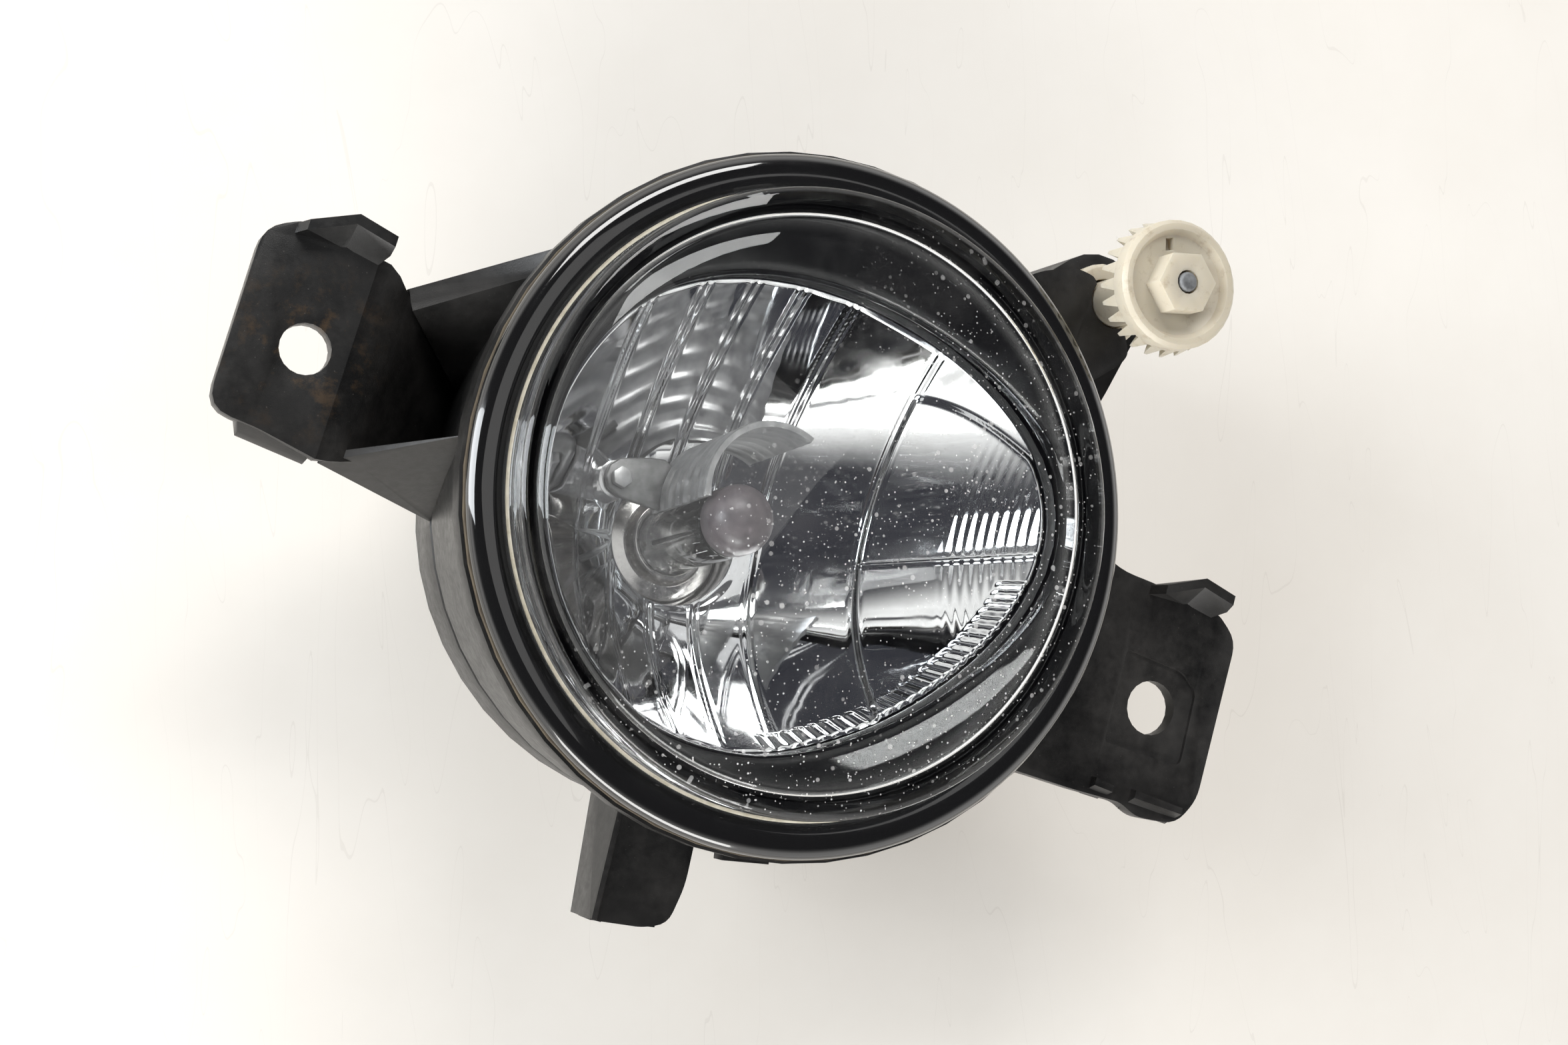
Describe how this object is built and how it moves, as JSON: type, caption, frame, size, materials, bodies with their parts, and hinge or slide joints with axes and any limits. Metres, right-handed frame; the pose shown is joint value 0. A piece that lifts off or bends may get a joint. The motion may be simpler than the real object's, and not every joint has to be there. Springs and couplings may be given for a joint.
{
  "type": "fog light",
  "caption": "Round glass fog lamp in a black moulded housing with two screw ears, a tilting fluted reflector with shielded bulb, a toothed aiming wheel and a twist-off rear cap.",
  "frame": {"origin": "centre of the rear cap's flat outer face", "axes": "+Z along the optical axis out of the lens, +X along the reflector oval's long axis, +Y to the lamp's upper side"},
  "size_m": [0.159, 0.1104, 0.0775],
  "materials": {
    "black_plastic": "fine grained moulded plastic",
    "clear_glass": "clear moulded glass",
    "sealant": "dark brown bonding bead",
    "gloss_black": "gloss black moulding",
    "reflector_metal": "bright metallised, fluted",
    "shield_metal": "ribbed dull grey sheet",
    "steel": "turned steel",
    "ivory_plastic": "natural ivory plastic",
    "rubber": "soft black rubber",
    "blackout": "dark antiglare coating",
    "bulb_glass": "clear quartz glass",
    "base_plastic": "dark grey plastic",
    "contact_metal": "plated contact blade",
    "membrane": "off-white breather film"
  },
  "bodies": {
    "housing": {"housing": "black_plastic", "lens": "clear_glass", "lens_seal": "sealant", "inner_bezel": "gloss_black", "pivot_pin_left": "steel", "pivot_pin_right": "steel", "adjuster_bush": "ivory_plastic", "vent_cap": "rubber", "vent_membrane": "membrane", "inlet_shell": "base_plastic", "inlet_seal": "rubber", "inlet_blade_1": "contact_metal", "inlet_blade_2": "contact_metal", "bulb_lead_1": "rubber", "bulb_lead_2": "rubber"},
    "adjuster": {"adjuster_wheel": "ivory_plastic", "adjuster_spindle": "steel", "adjuster_o_ring": "rubber", "adjuster_clip": "steel"},
    "nut": {"adjuster_nut": "ivory_plastic"},
    "reflector": {"reflector": "reflector_metal", "bulb_shield": "shield_metal", "shield_rivet": "steel", "bulb_glass": "bulb_glass", "bulb_tip": "blackout", "bulb_filament": "steel", "bulb_base": "base_plastic", "bulb_seal": "rubber", "bulb_plug": "base_plastic"},
    "rear_cap": {"rear_cap": "black_plastic", "rear_cap_seal": "rubber"}
  },
  "joints": [
    {"name": "adjuster_spin", "type": "hinge", "parent": "housing", "child": "adjuster", "pos_m": [0.059, 0.03111, 0.07], "axis": [0, 0, 1], "range_deg": [-388.8, 388.8]},
    {"name": "nut_slide", "type": "slide", "parent": "housing", "child": "nut", "axis": [0, 0, 1], "range_m": [-0.00136, 0.00136]},
    {"name": "reflector_tilt", "type": "hinge", "parent": "housing", "child": "reflector", "pos_m": [0, 0, 0.05], "axis": [1, 0, 0], "range_deg": [-2.5, 2.5]},
    {"name": "rear_cap_twist", "type": "hinge", "parent": "housing", "child": "rear_cap", "pos_m": [0, 0, 0], "axis": [0, 0, 1], "range_deg": [0, 30]}
  ],
  "couplings": [
    {"joint": "nut_slide", "follows": "adjuster_spin", "m_per_rad": -0.00019894},
    {"joint": "reflector_tilt", "follows": "adjuster_spin", "ratio": -0.0063953}
  ]
}
